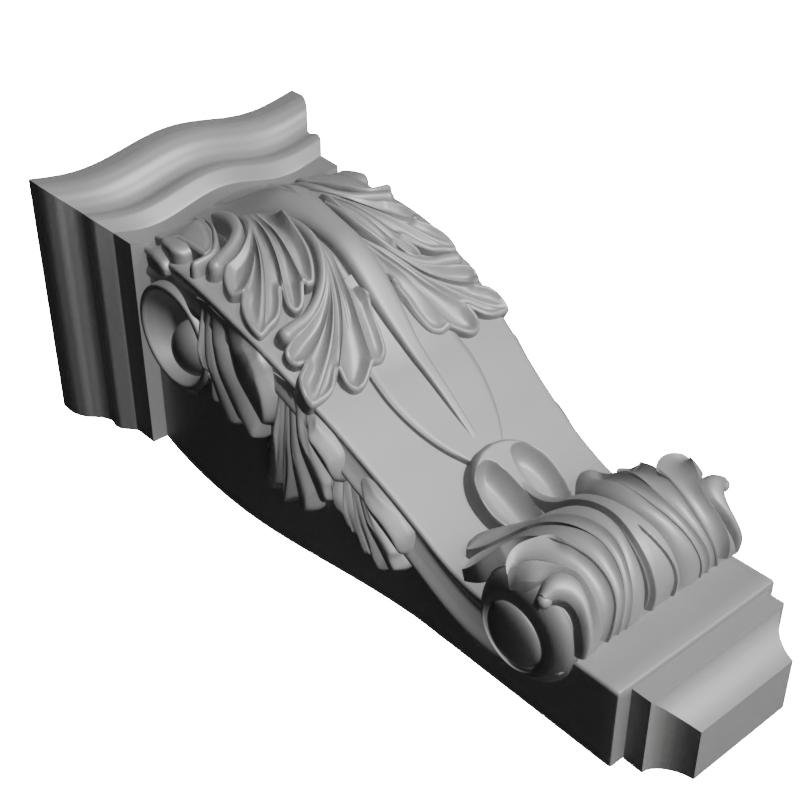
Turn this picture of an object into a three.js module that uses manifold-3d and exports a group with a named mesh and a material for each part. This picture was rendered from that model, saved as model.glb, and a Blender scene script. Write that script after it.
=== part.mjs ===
// Carved wooden corbel bracket: a moulded cap, a carved S-shaped body and a small pendant.
// Millimetres, +Z up, -Y out from the wall. The origin is the middle of the back face,
// where the corbel is fixed to the wall.

import * as THREE from 'three';
import { mergeVertices } from 'three/addons/utils/BufferGeometryUtils.js';
import Module from 'manifold-3d';

const wasm = await Module();
wasm.setup();

// Driving dimensions, in millimetres

const CAP_HEIGHT = 47;
const CAP_WIDTH = 125;
const CAP_DEPTH = 103;         // wall to the front corners of the cap
const CAP_WAVE = 2.7;          // how far the middle of the cap's front swells past its corners
const CAP_WAVE_HALF = 40.5;    // from the middle of the swell to the hollow beside it
const CAP_STEP = 13.5;         // how far the fascia stands back from the top edge

const BODY_HEIGHT = 233;       // foot plate's underside to the cap
const SHOULDER_WIDTH = 95;     // across the body at its widest
const NECK_WIDTH = 85;         // across the body where it meets the cap
const FOOT_WIDTH = 76;
const BODY_DEPTH = 90;         // wall to the flat front at its fullest

const PENDANT_HEIGHT = 20;
const PENDANT_WIDTH = 64.5;
const PENDANT_DEPTH = 30.6;
const PENDANT_COVE = 9.8;      // how far the cove draws the underside in

const JOINT_GAP = 0.3;         // between two pieces that touch

const PAINT = { color: 0x9b9b9b, roughness: 0.42, metalness: 0 };

// Levels of the three pieces on the wall

const TOTAL_HEIGHT = PENDANT_HEIGHT + BODY_HEIGHT + CAP_HEIGHT;
const PENDANT_FOOT = -TOTAL_HEIGHT / 2;
const BODY_FOOT = PENDANT_FOOT + PENDANT_HEIGHT;
const CAP_FOOT = BODY_FOOT + BODY_HEIGHT;

// The carving is drawn in modules: the body is 77.6 modules high, 31.6 wide at the
// shoulder and 30 deep. Places are [across, out from the wall, up from the pendant's foot].

const MODULES_HIGH = 77.6;
const MODULES_DEEP = 30;
const SHOULDER_HALF = 15.8;
const FOOT = 6.7;
const TOP = FOOT + MODULES_HIGH;
const NECK_HALF = SHOULDER_HALF * NECK_WIDTH / SHOULDER_WIDTH;
const FOOT_HALF = SHOULDER_HALF * FOOT_WIDTH / SHOULDER_WIDTH;

const ACROSS = SHOULDER_WIDTH / (2 * SHOULDER_HALF);
const OUT = BODY_DEPTH / MODULES_DEEP;
const UP = BODY_HEIGHT / MODULES_HIGH;

function place([across, out, up]) {
  return [across * ACROSS, -out * OUT, BODY_FOOT + (up - FOOT) * UP];
}

// Numbers

function clamp(value, low, high) {
  return Math.min(high, Math.max(low, value));
}

function ease(from, to, value) {
  const t = clamp((value - from) / (to - from), 0, 1);
  return t * t * (3 - 2 * t);
}

function mix(a, b, t) {
  return a + (b - a) * t;
}

function steps(count) {
  return Array.from({ length: count + 1 }, (_, i) => i / count);
}

// A smooth curve through knots [place, value], as a function of place
function curveThrough(knots) {
  const slope = knots.map((knot, i) => {
    const before = knots[Math.max(0, i - 1)];
    const after = knots[Math.min(knots.length - 1, i + 1)];
    return (after[1] - before[1]) / (after[0] - before[0]);
  });
  return (value) => {
    const at = clamp(value, knots[0][0], knots[knots.length - 1][0]);
    let i = 0;
    while (i < knots.length - 2 && at > knots[i + 1][0]) i += 1;
    const [x0, y0] = knots[i];
    const [x1, y1] = knots[i + 1];
    const span = x1 - x0;
    const t = (at - x0) / span;
    const t2 = t * t;
    const t3 = t2 * t;
    return (2 * t3 - 3 * t2 + 1) * y0 + (t3 - 2 * t2 + t) * span * slope[i]
      + (3 * t2 - 2 * t3) * y1 + (t3 - t2) * span * slope[i + 1];
  };
}

// Solids

// A closed solid from points and triangles, turned so that its faces point out
function solid(points, triangles) {
  let volume = 0;
  for (const [a, b, c] of triangles) {
    const [p, q, r] = [points[a], points[b], points[c]];
    volume += p[0] * (q[1] * r[2] - q[2] * r[1])
      + p[1] * (q[2] * r[0] - q[0] * r[2])
      + p[2] * (q[0] * r[1] - q[1] * r[0]);
  }
  const order = volume < 0 ? triangles.map(([a, b, c]) => [a, c, b]) : triangles;
  const geometry = new THREE.BufferGeometry();
  geometry.setAttribute('position', new THREE.Float32BufferAttribute(points.flat(), 3));
  geometry.setIndex(order.flat());
  return toManifold(geometry);
}

function toManifold(geometry) {
  const bare = geometry.clone();
  bare.deleteAttribute('normal');
  bare.deleteAttribute('uv');
  const merged = mergeVertices(bare, 1e-4);
  const vertProperties = new Float32Array(merged.attributes.position.array);
  const triVerts = new Uint32Array(merged.index.array);
  return new wasm.Manifold(new wasm.Mesh({ numProp: 3, vertProperties, triVerts }));
}

function toMesh(name, manifold) {
  const { vertProperties, triVerts, numProp } = manifold.getMesh();
  const positions = [];
  for (let i = 0; i < vertProperties.length; i += numProp) {
    positions.push(vertProperties[i], vertProperties[i + 1], vertProperties[i + 2]);
  }
  const geometry = new THREE.BufferGeometry();
  geometry.setAttribute('position', new THREE.Float32BufferAttribute(positions, 3));
  geometry.setIndex(Array.from(triVerts));
  geometry.computeVertexNormals();
  const mesh = new THREE.Mesh(geometry, new THREE.MeshStandardMaterial(PAINT));
  mesh.name = name;
  return mesh;
}

// One solid of several, with the pockets closed that are left where their hidden sides meet
function join(solids) {
  const whole = solids.reduce((sum, piece) => sum.add(piece));
  return whole.decompose().reduce((a, b) => (b.volume() > a.volume() ? b : a));
}

// A solid skinned over closed level rings of points, with flat ends
function skin(rings) {
  const points = rings.flat();
  const count = rings[0].length;
  const triangles = [];
  for (let i = 0; i + 1 < rings.length; i += 1) {
    for (let j = 0; j < count; j += 1) {
      const k = (j + 1) % count;
      const [a, b, c, d] = [i * count + j, i * count + k, (i + 1) * count + k, (i + 1) * count + j];
      triangles.push([a, b, c], [a, c, d]);
    }
  }
  for (const [start, turned] of [[0, true], [points.length - count, false]]) {
    const outline = points.slice(start, start + count).map(([x, y]) => new THREE.Vector2(x, y));
    const clockwise = THREE.ShapeUtils.isClockWise(outline);
    for (const [a, b, c] of THREE.ShapeUtils.triangulateShape(outline, [])) {
      const face = [start + a, start + b, start + c];
      triangles.push(turned !== clockwise ? face.reverse() : face);
    }
  }
  return solid(points, triangles);
}

// A solid between a carved upper grid of points and a plain lower one
function slab(upper, lower) {
  const rows = upper.length;
  const columns = upper[0].length;
  const points = [...upper.flat(), ...lower.flat()];
  const half = rows * columns;
  const triangles = [];
  for (let i = 0; i + 1 < rows; i += 1) {
    for (let j = 0; j + 1 < columns; j += 1) {
      const [a, b] = [i * columns + j, i * columns + j + 1];
      const [c, d] = [a + columns, b + columns];
      triangles.push([a, b, d], [a, d, c]);
      triangles.push([half + a, half + d, half + b], [half + a, half + c, half + d]);
    }
  }
  const border = [];
  for (let j = 0; j < columns; j += 1) border.push(j);
  for (let i = 1; i < rows; i += 1) border.push(i * columns + columns - 1);
  for (let j = columns - 2; j >= 0; j -= 1) border.push((rows - 1) * columns + j);
  for (let i = rows - 2; i > 0; i -= 1) border.push(i * columns);
  border.forEach((a, i) => {
    const b = border[(i + 1) % border.length];
    triangles.push([a, half + a, half + b], [a, half + b, b]);
  });
  return solid(points.map(place), triangles);
}

function mirrored(build) {
  return [build(-1), build(1)];
}

// The front and side faces of the body

const frontDepth = curveThrough([
  [FOOT, 10.6], [22, 10.4], [28, 10.7], [33, 12.3], [42, 17.2],
  [51, 22.6], [60, 27.1], [68, 29.4], [76, 30], [TOP, 28.9],
]);

function halfWidth(up) {
  if (up > 66) {
    return SHOULDER_HALF - (SHOULDER_HALF - NECK_HALF) * ((up - 66) / (TOP - 66)) ** 2;
  }
  return mix(FOOT_HALF, SHOULDER_HALF, ease(34, 66, up));
}

// The leafy middle of the upper front swells out past the flat front
const SWELL = 4.2;
const SWELL_HALF_WIDTH = 6;

function swell(across, up) {
  const rise = SWELL * ease(50, 64, up) - (SWELL - 1.2) * ease(73, TOP, up);
  return rise * Math.exp(-((across / SWELL_HALF_WIDTH) ** 2));
}

// A place on the front face, lifted squarely off it
function onFront(across, up, lift) {
  const slope = (frontDepth(up + 0.1) - frontDepth(up - 0.1)) / 0.2;
  const length = Math.hypot(1, slope);
  return [across, frontDepth(up) + swell(across, up) + lift / length,
    Math.min(up - lift * slope / length, TOP - 0.1)];
}

// The raised band along the front edge of each side, which ends in the two scrolls
const BAND_PROUD = 1.1;
const bandEdge = curveThrough([
  [13, 9.2], [14.5, 7.7], [16.6, 6.2], [20.7, 4.3], [24.5, 4], [29.7, 5.3],
  [37.9, 9.7], [46, 15.4], [52, 19.3], [60, 23], [68, 25],
]);

function bandHeight(up) {
  return BAND_PROUD * ease(13, 13.8, up) * (1 - 0.6 * ease(45, 60, up));
}

// The core: plate, flat front and recessed sides in one skin

const FOOT_ROUND = 0.5;
const FRONT_STATIONS = [-1, -0.75, -0.5, -0.25, 0, 0.25, 0.5, 0.75, 1];

function coreRing(up, inset = 0) {
  const side = halfWidth(up) - inset;
  const front = frontDepth(up) - inset;
  const edge = Math.min(bandEdge(up), front - 1.5);
  const proud = bandHeight(up);
  const edgeHalf = side + 0.35 * ease(13, 20, up);
  const half = [
    [side, 0], [side, edge - 0.3], [side + proud, edge], [side + proud, edge + 0.7],
    [mix(side, edgeHalf, 0.5) - 0.2 * proud, mix(edge, front, 0.55)], [edgeHalf, front - 0.4],
  ];
  const across = FRONT_STATIONS.map((s) => s * (edgeHalf - 0.4));
  return [
    ...half.map(([x, out]) => [-x, out, up]),
    ...across.map((x) => [x, front + swell(x, up), up]),
    ...half.reverse().map(([x, out]) => [x, out, up]),
  ].map(place);
}

function core() {
  const top = TOP - JOINT_GAP / UP;
  const levels = [8.5, 13, 14, ...steps(27).map((t) => mix(15.5, top, t))];
  return skin([
    coreRing(FOOT, FOOT_ROUND),
    coreRing(FOOT + FOOT_ROUND),
    ...levels.map((up) => coreRing(up)),
  ]);
}

// Scrolls

// Moves every point of a geometry from its own axes to its place on the corbel
function placeAll(geometry, where) {
  const positions = geometry.attributes.position;
  for (let i = 0; i < positions.count; i += 1) {
    positions.setXYZ(i, ...place(where(positions.getX(i), positions.getY(i), positions.getZ(i))));
  }
}

// Placing mirrors a shape, which turns its faces inwards, so each face is turned round
function turnFaces(geometry) {
  const index = Array.from(geometry.index.array);
  for (let i = 0; i < index.length; i += 3) [index[i], index[i + 1]] = [index[i + 1], index[i]];
  geometry.setIndex(index);
}

// A round form about a line across the corbel, from a profile of [radius, across]
function turned(profile, out, up, segments) {
  const geometry = new THREE.LatheGeometry(profile.map(([r, x]) => new THREE.Vector2(r, x)), segments);
  geometry.rotateZ(-Math.PI / 2);
  placeAll(geometry, (x, y, z) => [x, out + y, up + z]);
  if (toManifold(geometry).volume() < 0) turnFaces(geometry);
  return toManifold(geometry);
}

const DOME_SEGMENTS = 14;
const DOME_RINGS = 8;

function dome(side, across, bulge, radius, out, up) {
  const geometry = new THREE.SphereGeometry(1, DOME_SEGMENTS, DOME_RINGS);
  geometry.rotateZ(Math.PI / 2);
  placeAll(geometry, (x, y, z) => [side * across + x * bulge, out + y * radius, up + z * radius]);
  turnFaces(geometry);
  return toManifold(geometry);
}

const ROLL = { out: 10.9, up: 19.2, radius: 6.7, half: 13.8 };
const ROLL_EYE = { out: 9.4, up: 20.3, radius: 3.3 };

function lowerRoll() {
  const { out, up, radius, half } = ROLL;
  const end = [[0, half], [radius - 1.9, half], [radius - 1, half - 0.3],
    [radius - 0.3, half - 1], [radius, half - 2]];
  const profile = [...end, ...end.map(([r, x]) => [r, -x]).reverse()];
  let roll = turned(profile, out, up, 30);
  for (const side of [-1, 1]) {
    const hollow = [[0, side * 12.4], [3.9, side * 12.4], [4.2, side * 15], [0, side * 15]];
    roll = roll.subtract(turned(hollow, ROLL_EYE.out, ROLL_EYE.up, 18));
    roll = roll.add(dome(side, 12.2, 1.9, ROLL_EYE.radius, ROLL_EYE.out, ROLL_EYE.up));
  }
  return roll;
}

const SCROLL = { out: 19.9, up: 77, radius: 7.1 };
const SCROLL_EYE = { out: 17.2, up: 76.3, radius: 3.7 };
const SCROLL_PROUD = 1.2;

function upperScrolls(body) {
  let whole = body;
  const { out, up, radius } = SCROLL;
  const face = halfWidth(up) + SCROLL_PROUD;
  for (const side of [-1, 1]) {
    const disc = [[0, side * 10], [radius, side * 10], [radius, side * (face - 0.4)],
      [radius - 0.4, side * face], [0, side * face]];
    const bowl = [[0, side * (face - 3.4)], [3.6, side * (face - 3.4)], [5.2, side * (face - 1.8)],
      [5.9, side * (face + 0.5)], [0, side * (face + 0.5)]];
    whole = whole.add(turned(disc, out, up, 28));
    whole = whole.subtract(turned(bowl, out - 0.3, up, 20));
    whole = whole.add(dome(side, face - 3.4, 3.1, SCROLL_EYE.radius, SCROLL_EYE.out, SCROLL_EYE.up));
  }
  return whole;
}

// Leaves that fan out from a root line to a lobed rim. Each fan line is
// [root across, root up, rim across, rim up, height at the rim], and bends as it runs.

const LEAF_SINK = 1.2;

function bent(line, t, bend) {
  const [x0, z0, x1, z1] = line;
  const middle = [mix(x0, x1, 0.5) + bend * (z1 - z0), mix(z0, z1, 0.5) - bend * (x1 - x0)];
  const [a, b, c] = [(1 - t) ** 2, 2 * t * (1 - t), t * t];
  return [a * x0 + b * middle[0] + c * x1, a * z0 + b * middle[1] + c * z1];
}

// bend can differ from the first fan line to the last
function fan(lines, bends, rootHeight, at, rows = 5) {
  const upper = [];
  const lower = [];
  for (const t of steps(rows)) {
    const places = lines.map((line, i) => {
      const bend = mix(bends[0], bends[1], i / (lines.length - 1));
      return [...bent(line, t, bend), mix(rootHeight, line[4], ease(0, 0.5, t))];
    });
    upper.push(places.map(([u, v, height]) => at(u, v, height - 0.35 * ease(0.75, 1, t))));
    lower.push(places.map(([u, v]) => at(u, v, -LEAF_SINK)));
  }
  return slab(upper, lower);
}

// Front acanthus, left half, as [root across, root up, rim across, rim up, height]

const UPPER_LEAF = [
  [-8, 82, -13.6, 72.4, 1.4], [-7.6, 81.6, -15.2, 71.4, 1.6], [-7.3, 81.3, -15.2, 69.6, 1.5],
  [-7, 81, -13.8, 68.6, 1.1], [-6.7, 80.7, -15.8, 65, 1.6], [-6.4, 80.5, -13.3, 66.2, 1],
  [-6, 80.3, -15.6, 62.2, 1.5], [-5.6, 80.1, -15.9, 59.3, 1.9], [-5.2, 79.9, -12.4, 60.5, 1.4],
  [-4.8, 79.6, -9, 63.6, 1.1], [-4.4, 79.3, -9.9, 61.3, 1.6], [-4, 79, -9.3, 60.5, 1.8],
  [-3.7, 78.6, -7.3, 62.2, 1.5], [-3.4, 78, -5.4, 62.6, 1.5], [-3.2, 77, -4.4, 63.8, 1.5],
  [-3, 76, -3.6, 67, 1.3], [-2.8, 74.6, -2.9, 71.5, 0.9],
];

const LOWER_LEAF = [
  [-2.7, 73, -7.4, 60.8, 1.5], [-2.6, 71.6, -11.8, 60.1, 1.6], [-2.4, 70.4, -13.5, 59.7, 1.9],
  [-2.2, 69.4, -13.9, 58, 1.7], [-2, 68.6, -12.3, 57.1, 1.1], [-1.9, 67.8, -15.5, 55.2, 1.6],
  [-1.8, 67, -13.2, 54.5, 1], [-1.7, 66.2, -15.8, 52.4, 1.6], [-1.7, 65.4, -16, 50.3, 1.9],
  [-1.6, 64.6, -12.6, 50.3, 1.5], [-1.6, 63.8, -10.3, 52.1, 1.1], [-1.5, 63, -11.2, 49.9, 1.5],
  [-1.5, 62.2, -9.8, 48.8, 1.9], [-1.4, 61.4, -6.6, 50.5, 1.3], [-1.4, 60.6, -4.4, 51.1, 1.6],
  [-1.3, 59.6, -3, 52.8, 1.4], [-1.3, 58.4, -2.7, 55.8, 1],
];

const CURL_LEAF = [
  [-14, 82.6, -15.9, 75.4, 2.2], [-13.2, 82.9, -16.1, 72.9, 2.4], [-12, 83.2, -14, 72.5, 2.3],
  [-10.6, 83.4, -10.2, 72.8, 2.2], [-9.2, 83.6, -7, 74.8, 2.2], [-7.8, 83.8, -5, 77.8, 2.1],
  [-6.6, 84, -5.2, 80.6, 1.9],
];

function flipped(lines, side) {
  return lines.map(([x0, z0, x1, z1, height]) => [-side * x0, z0, -side * x1, z1, height]);
}

function frontLeaves(side) {
  return [
    fan(flipped(UPPER_LEAF, side), [side * 0.12, side * -0.05], 1.2, onFront),
    fan(flipped(LOWER_LEAF, side), [side * -0.24, side * -0.02], 0.9, onFront),
    fan(flipped(CURL_LEAF, side), [0, side * -0.1], 1.3, onFront, 3),
  ];
}

// The stem runs down the middle and spreads under the cap. The sheath is a low
// spear-shaped panel behind its lower end.

const stemHalf = curveThrough([
  [40, 0.5], [42, 0.9], [50, 1.1], [58, 1.6], [66, 2.1], [74, 3.2], [TOP, 4.6],
]);

function stem() {
  const upper = [];
  const lower = [];
  for (const t of steps(18)) {
    const up = mix(40, TOP - 0.4, t);
    const half = stemHalf(up);
    upper.push([-1, -0.5, 0.5, 1].map((s) => onFront(s * half, up, Math.abs(s) > 0.9 ? 0.6 : 1.7)));
    lower.push([-1, -0.5, 0.5, 1].map((s) => onFront(s * half, up, -LEAF_SINK)));
  }
  return slab(upper, lower);
}

const sheathHalf = curveThrough([[37, 1.2], [41, 4.3], [45, 6.1], [49, 6.8], [54, 6.2], [60, 3.5]]);
const SHEATH_THICK = 0.9;

function sheath() {
  const upper = [];
  const lower = [];
  for (const t of steps(10)) {
    const up = mix(37, 60, t);
    const across = [-1, -0.5, 0, 0.5, 1].map((s) => s * sheathHalf(up));
    upper.push(across.map((x) => onFront(x, up, SHEATH_THICK)));
    lower.push(across.map((x) => onFront(x, up, -LEAF_SINK)));
  }
  return slab(upper, lower);
}

// Side leaves: three fluted sprays that cascade down each side, as
// [root out, root up, rim out, rim up, height]. Odd lines are the furrows.

const SIDE_SPRAYS = [
  [
    [26.4, 74.5, 17.6, 70, 1.5], [26.6, 73.4, 14.2, 68.6, 2], [26.8, 72.2, 16.4, 66, 0.7],
    [27, 71, 14.6, 64.2, 2], [27, 69.8, 14.2, 61.6, 2.1], [26.8, 68.4, 16.8, 60.6, 0.8],
    [26.6, 67, 18.2, 58.8, 2.2], [26.2, 65.6, 20.2, 58.4, 2], [25.8, 64, 22.6, 59.6, 1.2],
  ],
  [
    [24.6, 62, 12.4, 60.4, 1.8], [24.2, 60.9, 8.4, 58.6, 2.1], [23.8, 59.8, 12.2, 56.8, 0.7],
    [23.3, 58.7, 8.6, 54.4, 2], [22.8, 57.6, 9, 51.2, 2.1], [22.2, 56.5, 12, 50.4, 0.8],
    [21.6, 55.4, 11.6, 48.4, 2.1], [21, 54.3, 13.8, 47.8, 2.1], [20.4, 53.2, 17, 49.4, 1.2],
  ],
  [
    [18.4, 51, 10.2, 47.6, 1.6], [18, 50.1, 6.4, 44.4, 2], [17.6, 49.2, 8.8, 43.4, 0.7],
    [17.1, 48.3, 6.2, 41, 1.9], [16.6, 47.4, 7.2, 38.6, 2], [16.1, 46.5, 9.6, 38.8, 0.8],
    [15.6, 45.6, 10, 37.6, 1.8], [15.2, 44.7, 12, 38.4, 1.2],
  ],
];

function sideLeaves(side) {
  const onSide = (out, up, lift) => [side * (halfWidth(up) + lift), out, up];
  return SIDE_SPRAYS.map((lines) => fan(lines, [0.16, -0.06], 1.1, onSide, 4));
}

// The lower leaf lies over the roll, from the foot plate up to the hollow of the front

const LEAF_HALF = 12.3;
const LEAF_THICK = 1.8;
const FLUTE_WIDTH = 2.2;
const FLUTE_DEPTH = 0.95;
const HOOK = { across: 13.1, angle: 114, radius: 1.2 };

function onRoll(across, angle, lift) {
  const turn = THREE.MathUtils.degToRad(angle);
  const r = ROLL.radius + lift;
  return [across, ROLL.out + r * Math.sin(turn), ROLL.up + r * Math.cos(turn)];
}

function rollLeaf() {
  const columns = 2 * Math.round(2 * LEAF_HALF / FLUTE_WIDTH);
  const upper = [];
  const lower = [];
  for (const t of steps(13)) {
    const angle = mix(22, 174, t);
    const spread = mix(0.72, 1, ease(70, 170, angle));
    const half = LEAF_HALF * mix(0.75, 1, ease(20, 75, angle));
    const across = steps(columns).map((share) => {
      const s = 2 * share - 1;
      return s * half * mix(spread, 1, Math.abs(s) ** 3);
    });
    const thick = LEAF_THICK * mix(0.35, 1, ease(178, 145, angle));
    upper.push(across.map((x, i) => {
      const edge = i === 0 || i === columns ? 0.5 : 1;
      return onRoll(x, angle, thick * edge + (i % 2 === 0 ? 0 : FLUTE_DEPTH));
    }));
    lower.push(across.map((x) => onRoll(x, angle, -LEAF_SINK)));
  }
  return slab(upper, lower);
}

// The curled ends of the lower leaf, which reach over the ends of the roll
function hook(side) {
  const [, out, up] = onRoll(0, HOOK.angle, 0.5);
  return dome(side, HOOK.across, HOOK.radius, HOOK.radius, out, up);
}

// The tongue above the roll, with two spoon hollows and a ridge between them
const TONGUE = { up: 32.6, half: 5.9, rise: 6, thick: 2.3, hollow: 1.7 };

function tongue() {
  const upper = [];
  const lower = [];
  for (const s of steps(10)) {
    const angle = mix(-0.35, 1, s) * Math.PI;
    const rays = steps(4).map((t) => [t * TONGUE.half * Math.cos(angle),
      TONGUE.up + t * TONGUE.rise * Math.sin(angle), t]);
    upper.push(rays.map(([x, up, t]) => {
      const dip = TONGUE.hollow * Math.exp(-(((Math.abs(x) - 2.9) / 1.8) ** 2) - ((up - 33.6) / 2.6) ** 2);
      return onFront(x, up, TONGUE.thick * (1 - 0.25 * ease(0.75, 1, t)) - dip);
    }));
    lower.push(rays.map(([x, up]) => onFront(x, up, -LEAF_SINK)));
  }
  return slab(upper, lower);
}

// A long lobe along a bent line on a face, ridged down its middle
function lobe(from, to, bend, half, height, at) {
  const upper = [];
  const lower = [];
  const line = [...from, ...to];
  for (const t of steps(6)) {
    const [x, z] = bent(line, t, bend);
    const [x2, z2] = bent(line, Math.min(1, t + 0.05), bend);
    const [x1, z1] = bent(line, Math.min(0.95, t), bend);
    const length = Math.hypot(x2 - x1, z2 - z1) || 1;
    const [nx, nz] = [-(z2 - z1) / length, (x2 - x1) / length];
    const wide = half * (0.35 + 0.65 * Math.sin(Math.PI * clamp(0.12 + 0.82 * t, 0, 1)));
    const across = [-1, -0.5, 0.5, 1];
    upper.push(across.map((s) => at(x + s * wide * nx, z + s * wide * nz,
      height * (Math.abs(s) > 0.9 ? 0.55 : 1) * (1 - 0.3 * t))));
    lower.push(across.map((s) => at(x + s * wide * nx, z + s * wide * nz, -LEAF_SINK)));
  }
  return slab(upper, lower);
}

function fingers(side) {
  return [
    lobe([side * 3, 29], [side * 9.9, 30.6], side * -0.12, 1.7, 2.2, onFront),
    lobe([side * 6, 26.6], [side * 12.4, 27.6], side * -0.1, 1.6, 1.8, onFront),
  ];
}

// Body

function body() {
  const carving = [
    ...mirrored(frontLeaves).flat(), ...mirrored(sideLeaves).flat(), ...mirrored(fingers).flat(),
    ...mirrored(hook), stem(), sheath(), lowerRoll(), rollLeaf(), tongue(),
  ];
  return join([upperScrolls(core()), ...carving]);
}

// Cap: one profile carried round a front that swells and hollows, with mitred returns

const CAP_FRONT_STEPS = 30;

// [height above the cap's foot, how far in from the top edge], as shares of height and step
const CAP_PROFILE = [
  [0, 1], [0.235, 0.985], [0.25, 0.93], [0.345, 0.68], [0.47, 0.66], [0.53, 0.62],
  [0.63, 0.4], [0.71, 0.17], [0.77, 0.06], [0.84, 0], [0.965, 0], [1, 0.03],
];

function capRing([heightShare, insetShare]) {
  const inset = insetShare * CAP_STEP;
  const half = CAP_WIDTH / 2 - inset;
  const up = CAP_FOOT + heightShare * CAP_HEIGHT;
  const front = steps(CAP_FRONT_STEPS).map((t) => {
    const s = 2 * t - 1;
    const wave = CAP_WAVE * Math.cos(Math.PI * s * CAP_WIDTH / 2 / CAP_WAVE_HALF);
    return [s * half, -(CAP_DEPTH - inset + wave), up];
  });
  return [[-half, 0, up], ...front, [half, 0, up]];
}

function cap() {
  return skin(CAP_PROFILE.map(capRing));
}

// Pendant: a block under the foot plate with a cove on its front and sides

const PENDANT_BLOCK = 0.62;    // share of the height at which the cove starts
const COVE_STEPS = 9;
const COVE_HOLLOW = 0.8;       // 1 is a full quarter hollow, 0 a flat slope

function pendantRing(up, inset) {
  const half = PENDANT_WIDTH / 2 - inset;
  const front = PENDANT_DEPTH - inset;
  return [[-half, 0, up], [-half, -front, up], [half, -front, up], [half, 0, up]];
}

function pendant() {
  const top = BODY_FOOT - JOINT_GAP;
  const shoulder = PENDANT_FOOT + PENDANT_HEIGHT * PENDANT_BLOCK;
  const cove = steps(COVE_STEPS).map((t) => {
    const angle = t * Math.PI / 2;
    const drop = 1 - Math.cos(angle);
    const inset = PENDANT_COVE * mix(drop, Math.sin(angle), COVE_HOLLOW);
    return pendantRing(mix(shoulder, PENDANT_FOOT, drop), inset);
  });
  return skin([pendantRing(top, 0), ...cove]);
}

const corbel = new THREE.Group();
corbel.add(toMesh('cap', cap()), toMesh('body', body()), toMesh('pendant', pendant()));

export default corbel;
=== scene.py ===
"""Looks of a carved wooden corbel bracket: mouldings, acanthus leaves and scrolls."""

import math

import bpy
import numpy as np
from mathutils import Euler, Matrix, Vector


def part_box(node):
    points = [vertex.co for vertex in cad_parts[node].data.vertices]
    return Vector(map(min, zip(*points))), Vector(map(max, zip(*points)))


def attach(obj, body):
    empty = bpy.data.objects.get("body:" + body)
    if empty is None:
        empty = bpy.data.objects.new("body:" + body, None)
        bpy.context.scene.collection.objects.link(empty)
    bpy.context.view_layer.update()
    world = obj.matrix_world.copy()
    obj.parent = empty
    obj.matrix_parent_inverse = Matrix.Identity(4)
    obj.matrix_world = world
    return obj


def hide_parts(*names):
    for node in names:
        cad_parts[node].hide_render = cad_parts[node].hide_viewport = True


bl_info = {
    "name": "Carved Corbel",
    "version": (1, 0, 0),
    "blender": (4, 5, 0),
    "location": "View3D > Sidebar > Corbel",
    "description": "Builds a carved corbel with acanthus leaves, scrolls and mouldings",
    "category": "Add Mesh",
}

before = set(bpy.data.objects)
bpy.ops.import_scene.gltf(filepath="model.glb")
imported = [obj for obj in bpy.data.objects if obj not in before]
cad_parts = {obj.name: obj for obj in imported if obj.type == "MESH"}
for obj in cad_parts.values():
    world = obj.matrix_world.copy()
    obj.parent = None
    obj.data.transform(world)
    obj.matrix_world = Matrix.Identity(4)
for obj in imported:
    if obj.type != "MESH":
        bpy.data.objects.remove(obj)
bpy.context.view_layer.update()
CAP_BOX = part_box("cap")
BODY_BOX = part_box("body")
PENDANT_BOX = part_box("pendant")

# The carving is drawn in modules: the body is 77.6 modules high, 31.6 wide at the shoulder
# and 30 deep. Places are [across, out from the wall, up from the pendant's foot].
MODULES_HIGH = 77.6
MODULES_WIDE = 31.6
MODULES_DEEP = 30.0
FOOT = 6.7
TOP = FOOT + MODULES_HIGH
SHOULDER_HALF = MODULES_WIDE / 2

# How far the carving's undersides are sunk into the body, and the turn past which an edge
# is shown sharp, in degrees
SINK = 1.2
SHARP_CARVING = 38
SHARP_MOULDING = 30


class CorbelSizes(bpy.types.PropertyGroup):
    """Sizes of the corbel that a maker would change"""

    shoulder_width: bpy.props.FloatProperty(
        name="Shoulder width", description="Across the body at its widest",
        default=0.095, min=0.05, unit="LENGTH")
    neck_width: bpy.props.FloatProperty(
        name="Neck width", description="Across the body under the cap",
        default=0.085, min=0.05, unit="LENGTH")
    foot_width: bpy.props.FloatProperty(
        name="Foot width", description="Across the foot plate",
        default=0.076, min=0.04, unit="LENGTH")
    body_depth: bpy.props.FloatProperty(
        name="Body depth", description="Wall to the flat front at its fullest",
        default=0.090, min=0.04, unit="LENGTH")
    cap_step: bpy.props.FloatProperty(
        name="Cap step", description="How far the fascia stands back from the cap's top edge",
        default=0.0135, min=0.0, unit="LENGTH")
    cap_wave: bpy.props.FloatProperty(
        name="Cap wave", description="How far the middle of the cap's front swells out",
        default=0.0027, min=0.0, unit="LENGTH")
    cap_wave_half: bpy.props.FloatProperty(
        name="Cap wave half", description="From the middle of the swell to the hollow beside it",
        default=0.0405, min=0.01, unit="LENGTH")
    pendant_cove: bpy.props.FloatProperty(
        name="Pendant cove", description="How far the cove draws the pendant's underside in",
        default=0.0098, min=0.0, unit="LENGTH")
    relief: bpy.props.FloatProperty(
        name="Relief", description="Depth of the flutes, as a share of the real carving",
        default=1.0, min=0.2, max=2.0, subtype="FACTOR")


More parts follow.
